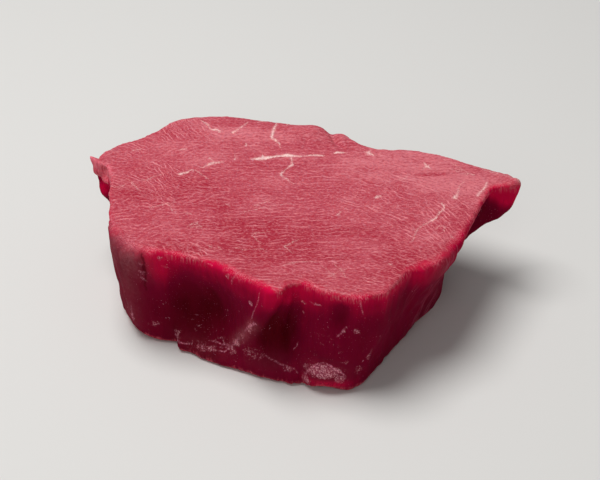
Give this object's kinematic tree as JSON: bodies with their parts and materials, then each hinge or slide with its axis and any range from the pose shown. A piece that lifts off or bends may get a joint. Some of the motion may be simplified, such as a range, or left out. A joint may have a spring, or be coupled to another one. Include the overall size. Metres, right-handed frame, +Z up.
{
  "type": "raw tournedos",
  "caption": "Thick slice of raw lean beef with level cut faces, a lumpy hollowed wall, a torn flap and an overhanging nose, lying on its lower cut face.",
  "frame": {"origin": "middle of the slice's box in X and Y, on the surface that its lower cut face lies on", "axes": "+X along the slice's longest side towards the overhanging nose, -Y the side with two hollows, +Z up through the thickness"},
  "size_m": [0.113, 0.0818, 0.0318],
  "materials": {
    "raw_beef": "moist raw muscle, satin sheen on the cut faces and glossy on the wall"
  },
  "bodies": {
    "root": {"steak": "raw_beef"}
  },
  "joints": []
}
